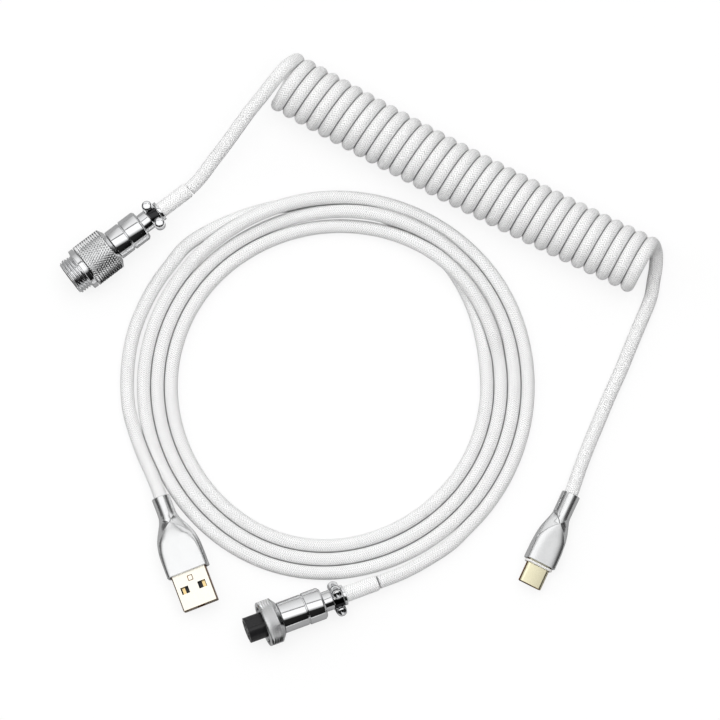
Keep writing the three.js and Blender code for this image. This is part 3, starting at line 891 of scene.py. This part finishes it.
def threaded_nose():
    first, last = 32.75, 36.85

    def thread(x, r, angle):
        if not first <= x <= last or r < THREAD_ROOT_R - 0.2:
            return 0.0
        phase = ((x - first) / THREAD_PITCH - angle / tau) % 1.0
        crest = min(1.0, max(0.0, 1.5 - 3.2 * abs(phase - 0.5)))
        fade = min((x - first) / 0.25, (last - x) / 0.25, 1.0)
        return (THREAD_CREST_R - THREAD_ROOT_R) * crest * max(fade, 0.0)

    outline = [(24.3, 4.8), (24.3, 6.2), (30.7, 6.2), (30.7, 7.3), (30.82, 7.45), (32.18, 7.45)]
    outline += [(32.3, 7.33), (32.3, 6.25), (32.35, 6.2), (32.6, 6.2), (32.7, THREAD_ROOT_R)]
    steps = round((last - first) / 0.07)
    outline += [(first + (last - first) * i / steps, THREAD_ROOT_R) for i in range(steps + 1)]
    outline += [(37.0, THREAD_ROOT_R), (37.1, THREAD_ROOT_R - 0.1), (37.1, 4.9), (37.0, 4.8)]
    nose = lathe(outline, 160, thread)
    key = standing(rod(5.2, 6.45, 0.65, 0.15, 32), 35.2, 0)
    turned_about(key, "X", 100)
    show(
        "socket_nose_threaded", together(nose, key), SOCKET, CHROME, "device_lead",
        ["socket_threaded_nose"],
    )


def make_plug():
    clamp_and_shell("plug", PLUG, "host_lead", 22.3)
    body = soften([
        (22.6, 3.9), (22.6, 5.0), (27.0, 5.0), (27.0, 5.75), (28.0, 5.75), (28.0, 4.6), (23.0, 4.6),
        (23.0, 3.9),
    ], 0.1)
    show("plug_body_turned", lathe(body, 96), PLUG, CHROME, "host_lead", ["plug_front_body"])
    first, last = 23.92, 28.2
    outline = [(23.75, 5.5), (22.65, 5.5), (22.55, 5.58), (22.55, 5.72)]
    outline += [(22.62, 5.85), (23.6, 7.1), (23.75, 7.35)]
    outline += knurl_line(first, last)
    outline += [(28.4, 7.5), (28.5, 7.35), (28.5, 6.2), (28.45, 6.15), (23.75, 6.15)]
    nut = lathe(outline, KNURL_SEGMENTS, knurl(first, last))
    show("coupling_nut_knurled", nut, PLUG, KNURLED, "nut", ["coupling_nut"])
    ring = pipe(24.0, 24.5, 5.3, 5.9)
    show("slip_ring_turned", ring, PLUG, CHROME, "slip_ring", ["nut_slip_ring"])
    plug_insert()
    for i, (y, z) in enumerate(pin_places()):
        tube = beside(pipe(27.0, 34.0, PIN_R + 0.05, 0.78, 0.06, 32), y, z)
        node = f"plug_contact_{i + 1}"
        show(f"{node}_turned", tube, PLUG, KNURLED, "host_lead", [node])


def plug_insert():
    holes = [beside(rod(26.7, 35, 1.0), y, z) for y, z in pin_places()]
    slots = [
        turned_about(block((28.8, 35), (-0.6, 0.6), (3.85, 5)), "X", angle)
        for angle in (35, 150, 265)
    ]
    face = combined(rod(23.3, 34.2, 4.3, 0.0, 96), holes + slots)
    show("plug_insert_moulded", bevelled(face, 0.07), PLUG, BLACK, "host_lead", ["plug_insert"])


make_socket()
make_plug()

# ---------------------------------------------------------------- USB plugs

CREASE_WIDTH = 0.22
END_ROUND = 0.22
FINE_STEPS, FLAT_SHARE = 80, 0.95

# Each section: x, half width, half height and squareness.
A_SECTIONS = [
    (-26.6, 3.07, 3.07, 2), (-20.5, 3.07, 3.07, 2), (-18.5, 3.5, 3.2, 2.2),
    (-16.7, 4.36, 3.4, 2.6), (-13.9, 5.8, 3.75, 3.4), (-11.6, 6.6, 3.95, 4.5),
    (-8, 7.15, 4, 6), (0, 7.2, 4, 8),
]
C_SECTIONS = [
    (-25.3, 3.15, 3.15, 2), (-17.5, 3.15, 3.15, 2), (-16, 3.45, 3.18, 2.2), (-14.2, 4, 3.2, 2.6),
    (-11.1, 4.85, 3.2, 3.6), (-8, 5.2, 3.2, 5), (0, 5.3, 3.2, 6),
]


def section_at(sections, x):
    """Half width, half height and squareness of the housing at x, on a smooth curve."""
    for k in range(len(sections) - 1):
        a, b = sections[k], sections[k + 1]
        if a[0] <= x <= b[0]:
            before = sections[max(k - 1, 0)]
            after = sections[min(k + 2, len(sections) - 1)]
            t = (x - a[0]) / (b[0] - a[0])
            out = []
            for i in (1, 2, 3):
                ma = (b[i] - before[i]) / (b[0] - before[0]) * (b[0] - a[0])
                mb = (after[i] - a[i]) / (after[0] - a[0]) * (b[0] - a[0])
                if a[i] == before[i]:
                    ma = 0.0
                if b[i] == after[i]:
                    mb = 0.0
                t2, t3 = t * t, t * t * t
                out.append(
                    a[i] * (2 * t3 - 3 * t2 + 1) + ma * (t3 - 2 * t2 + t)
                    + b[i] * (3 * t2 - 2 * t3) + mb * (t3 - t2)
                )
            return out
    return sections[-1][1:]


def crease_edge(x, crossing, spread, half_width, rear_slope):
    """How far from the middle the crease lies at x: two curves that cross on the broad face."""
    ahead = x - crossing
    if ahead <= 0:
        return -ahead * rear_slope
    return half_width * (1 - (1 - min(ahead / spread, 1.0)) ** 2.1)


def quarter(half, tall, square, edge, counts):
    """Points from the middle of the top to the side, closer together across the crease."""
    flat, turn = FLAT_SHARE * half, acos(FLAT_SHARE ** (square / 2))
    fine = []
    for i in range(FINE_STEPS):
        y = flat * i / FINE_STEPS
        fine.append(Vector((y, tall * (1 - (y / half) ** square) ** (1 / square))))
    for i in range(FINE_STEPS + 1):
        a = turn * (1 - i / FINE_STEPS)
        fine.append(Vector((half * cos(a) ** (2 / square), tall * sin(a) ** (2 / square))))
    lengths, crease_at = [0.0], None
    for a, b in zip(fine, fine[1:]):
        lengths.append(lengths[-1] + (b - a).length)
        if crease_at is None and b.x >= edge:
            crease_at = lengths[-2] + (b - a).length * (edge - a.x) / (b.x - a.x)
    if crease_at is None:
        crease_at = lengths[-1]
    crease_at = min(max(crease_at, 0.1), lengths[-1] - CREASE_WIDTH - 0.2)
    inner, across, outer = counts
    wanted = [crease_at * i / inner for i in range(inner)]
    wanted += [crease_at + CREASE_WIDTH * i / across for i in range(across)]
    start = crease_at + CREASE_WIDTH
    wanted += [start + (lengths[-1] - start) * i / outer for i in range(outer + 1)]
    points, k = [], 0
    for want in wanted:
        while k < len(lengths) - 2 and lengths[k + 1] < want:
            k += 1
        t = (want - lengths[k]) / max(lengths[k + 1] - lengths[k], 1e-9)
        points.append(fine[k].lerp(fine[k + 1], min(max(t, 0.0), 1.0)))
    return points, wanted, crease_at


def housing(sections, crossing, spread, rear_slope, depth, steps=150):
    """The skin of a housing through its sections, dished outside the creases on both faces."""
    bm = bmesh.new()
    counts = (14, 5, 22)
    rear, front = sections[0][0], sections[-1][0]
    rings = []
    for i in range(steps + 1):
        x = rear + (front - rear) * i / steps
        half, tall, square = section_at(sections, x)
        nearest = min(x - rear, front - x)
        short = max(END_ROUND - nearest, 0.0)
        inset = END_ROUND - (END_ROUND**2 - short**2) ** 0.5 if short else 0
        half, tall = half - inset, tall - inset
        edge = crease_edge(x, crossing, spread, sections[-1][1] - 0.25, rear_slope)
        points, along, crease_at = quarter(half, tall, square, edge, counts)
        presence = smoothstep((half - edge) / 0.5)
        top = []
        for point, s in zip(points, along):
            out = (s - crease_at) / CREASE_WIDTH
            room = along[-1] - crease_at
            dish = sin(pi * min(max((s - crease_at) / room, 0.0), 1.0))
            drop = smoothstep(out) * (0.4 * (1 - (s - crease_at) / room) + 0.6 * dish) * depth
            top.append((point.x, point.y - drop * presence * smoothstep(point.y / tall * 1.6)))
        bottom = [(y, -z) for y, z in reversed(top[:-1])]
        left = [(-y, -z) for y, z in top[1:]]
        over = [(-y, z) for y, z in reversed(top[1:-1])]
        rings.append([bm.verts.new((x, y, z)) for y, z in top + bottom + left + over])
    count = len(rings[0])
    for a, b in zip(rings, rings[1:]):
        for k in range(count):
            j = (k + 1) % count
            bm.faces.new((a[k], a[j], b[j], b[k]))
    bm.faces.new(rings[0][::-1])
    bm.faces.new(rings[-1])
    return bm


def flat_tube(width, height, wall, x0, x1, corner, soft=0.0, steps=8):
    """A flat tube with rounded corners along X; wall 0 makes it solid."""
    bm = bmesh.new()

    def ring(x, w, h, r):
        verts = []
        for cx, cy, start in ((1, 1, 0), (-1, 1, 90), (-1, -1, 180), (1, -1, 270)):
            for k in range(steps + 1):
                a = radians(start + 90 * k / steps)
                verts.append(bm.verts.new((
                    x, cx * (w / 2 - r) + r * cos(a), cy * (h / 2 - r) + r * sin(a),
                )))
        return verts

    def skin(a, b):
        for k in range(len(a)):
            j = (k + 1) % len(a)
            bm.faces.new((a[k], a[j], b[j], b[k]))

    edge = min(soft, 0.4 * wall) if wall else soft
    ends = [(x0, edge), (x0 + edge, 0), (x1 - edge, 0), (x1, edge)] if edge else [(x0, 0), (x1, 0)]
    outer = [ring(x, width - 2 * cut, height - 2 * cut, corner - cut) for x, cut in ends]
    for a, b in zip(outer, outer[1:]):
        skin(a, b)
    if not wall:
        bm.faces.new(outer[0][::-1])
        bm.faces.new(outer[-1])
        return bm
    inside = max(corner - wall, 0.05)
    w, h = width - 2 * wall, height - 2 * wall
    rear, front = ring(x0, w, h, inside), ring(x1, w, h, inside)
    skin(front, rear)
    skin(outer[-1], front)
    skin(rear, outer[0])
    return bm


def make_usb_a():
    width, height, wall, reach = 12.0, 4.5, 0.3, 12.0
    body = housing(A_SECTIONS, crossing=-17.3, spread=10.5, rear_slope=0.95, depth=0.9)
    across, tall = width / 2 + 0.3, height / 2 + 0.3
    body = combined(body, [
        block((-10.4, 1), (-across, across), (-tall, tall)),
        block((-16.5, -10), (-3.4, 3.4), (-1.2, 1.2)),
    ], flatten=False)
    show("usb_a_housing_cast", body, USB_A, CAST, "host_lead", ["usb_a_housing"])
    windows = []
    for y in (-3, 3):
        for z in (-height / 2, height / 2):
            windows.append(block((4.35, 6.75), (y - 1.35, y + 1.35), (z - 0.6, z + 0.6)))
    dimple = combined(
        block((1.2, 3.2), (-0.95, 0.95), (height / 2 - 0.12, height / 2 + 1), 0.3),
        [block((1.5, 2.9), (-0.65, 0.65), (0, 9), 0.2)],
    )
    shell = combined(flat_tube(width, height, wall, -10.1, reach, 0.5, 0.12), [*windows, dimple])
    show("usb_a_shell_folded", shell, USB_A, GOLD_A, "host_lead", ["usb_a_shell"])


def make_usb_c():
    width, height, wall, reach = 8.25, 2.4, 0.25, 7.9
    body = housing(C_SECTIONS, crossing=-14.5, spread=9.5, rear_slope=0.75, depth=0.75)
    body = combined(body, [
        flat_tube(width + 0.6, height + 0.6, 0, -9, 1, height / 2 + 0.29),
        block((-13, -8.5), (-3.3, 3.3), (-0.8, 0.8)),
    ], flatten=False)
    show("usb_c_housing_cast", body, USB_C, CAST, "device_lead", ["usb_c_housing"])
    bezel = combined(
        flat_tube(9.7, 4.6, 0, 0.3, 1.1, 1.8, 0.2),
        [flat_tube(width + 0.6, height + 0.6, 0, -1, 2, height / 2 + 0.29)],
    )
    show("usb_c_bezel_moulded", bezel, USB_C, WHITE, "device_lead", ["usb_c_bezel"])
    shell = flat_tube(width, height, wall, -8.5, reach, height / 2 - 0.01, 0.1, 12)
    show("usb_c_shell_drawn", shell, USB_C, GOLD_C, "device_lead", ["usb_c_shell"])


make_usb_a()
make_usb_c()

# ---------------------------------------------------------------- stage

STUDIO_STRENGTH, BACKDROP_GREY = 1.25, 0.93
FLOOR_SIZE, FLOOR_LEVEL = 3.0, -0.0002
FLOOR_GLOW, FLOOR_GLOW_STRENGTH = 0.75, 1.1
FLOOR_PALE, FLOOR_GLOSSY = 0.6, 0.36


def make_floor():
    """A pale light table: it glows towards the lens and looks grey in the metal."""
    mesh = bpy.data.meshes.new("floor")
    corners = [(-1, -1), (1, -1), (1, 1), (-1, 1)]
    mesh.from_pydata(
        [(x * FLOOR_SIZE, y * FLOOR_SIZE, FLOOR_LEVEL) for x, y in corners], [], [(0, 1, 2, 3)]
    )
    material, n = new_material("floor")
    ray = n.add("ShaderNodeLightPath")
    lit, shade = (
        n.add("ShaderNodeBsdfDiffuse", {"Color": (grey, grey, grey, 1)}).outputs[0]
        for grey in (FLOOR_PALE, FLOOR_GLOSSY)
    )
    glow = n.add(
        "ShaderNodeEmission", {"Color": (1, 1, 1, 1), "Strength": FLOOR_GLOW_STRENGTH}
    ).outputs[0]
    share = n.math("MULTIPLY", ray.outputs["Is Camera Ray"], FLOOR_GLOW)
    seen = n.add("ShaderNodeMixShader", {0: share, 1: lit, 2: glow}).outputs[0]
    mirrored = ray.outputs["Is Glossy Ray"]
    both = n.add("ShaderNodeMixShader", {0: mirrored, 1: seen, 2: shade}).outputs[0]
    output = n.add("ShaderNodeOutputMaterial")
    n.tree.links.new(both, output.inputs["Surface"])
    mesh.materials.append(material)
    new_object("floor", mesh)


def make_world():
    """A studio of white ceiling, grey back and dark front, banded round the X axis."""
    world = bpy.data.worlds.new("studio")
    world.use_nodes = True
    n = Nodes(world.node_tree)
    direction = n.add("ShaderNodeTexCoord").outputs["Generated"]
    split = n.add("ShaderNodeSeparateXYZ", {0: direction})
    forwards = n.math("MULTIPLY", split.outputs[1], -1.0)
    turn = n.math("ARCTAN2", forwards, split.outputs[2])
    share = n.math("MULTIPLY_ADD", turn, 1 / tau, 0.5)

    def at(degrees):
        return degrees / 360 + 0.5

    light = n.ramp(share, [
        (at(-120), 0.4), (at(-90), 0.55), (at(-28), 0.85), (at(-24), 0.1), (at(-21), 0.1),
        (at(-19), 1.0), (at(13), 1.0), (at(30), 0.015), (at(83), 0.01), (at(86), 0.9),
        (at(100), 0.5),
    ])
    sideways = n.math("MULTIPLY_ADD", split.outputs[0], 0.5, 0.5)
    side = n.ramp(sideways, [
        (0.0, 0.4), (0.04, 0.06), (0.11, 0.06), (0.16, 0.5), (0.25, 1.0), (0.72, 1.0), (0.8, 0.5),
        (0.88, 0.04), (1.0, 0.02),
    ])
    light = n.math("MULTIPLY", light, side)
    studio = n.add(
        "ShaderNodeBackground", {"Color": light, "Strength": STUDIO_STRENGTH}
    ).outputs[0]
    grey = (BACKDROP_GREY, BACKDROP_GREY, BACKDROP_GREY, 1)
    plain = n.add("ShaderNodeBackground", {"Color": grey, "Strength": 1.0}).outputs[0]
    camera_ray = n.add("ShaderNodeLightPath").outputs["Is Camera Ray"]
    mixed = n.add("ShaderNodeMixShader", {0: camera_ray, 1: studio, 2: plain}).outputs[0]
    output = n.add("ShaderNodeOutputWorld")
    n.tree.links.new(mixed, output.inputs[0])
    bpy.context.scene.world = world


def make_light(name, at, size, power, glossy):
    """A round area light aimed at the origin."""
    light = bpy.data.lights.new(name, "AREA")
    light.shape = "DISK"
    light.size = size
    light.energy = power
    obj = new_object(name, light)
    obj.location = at
    obj.rotation_euler = (-Vector(at)).to_track_quat("-Z", "Y").to_euler()
    obj.visible_glossy = glossy


def make_stage():
    make_floor()
    make_world()
    make_light("overhead", (0.05, 0.1, 1.4), 1.6, 13.0, False)
    make_light("left_fill", (-1.1, 0.3, 0.8), 1.0, 4.0, False)
    make_light("front_fill", (0.3, -1.1, 0.6), 1.0, 2.5, False)
    scene = bpy.context.scene
    scene.view_settings.view_transform = "Standard"
    scene.view_settings.look = "None"
    scene.view_settings.exposure = 0.0
    scene.view_settings.gamma = 1.0


CARRIED = {
    "usb_a_tongue": BLACK, "usb_a_board": BOARD, "usb_c_board": BOARD, "usb_c_insulator": BLACK,
    "usb_c_contacts_upper": BRASS, "usb_c_contacts_lower": BRASS,
    **{f"usb_a_contact_{i}": BRASS for i in range(1, 5)},
}


def dress_carried_nodes():
    """Gives the CAD nodes that stay visible the same looks as the pieces around them."""
    for name, material in CARRIED.items():
        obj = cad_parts[name]
        obj.data.materials.clear()
        obj.data.materials.append(material)


dress_carried_nodes()
make_stage()
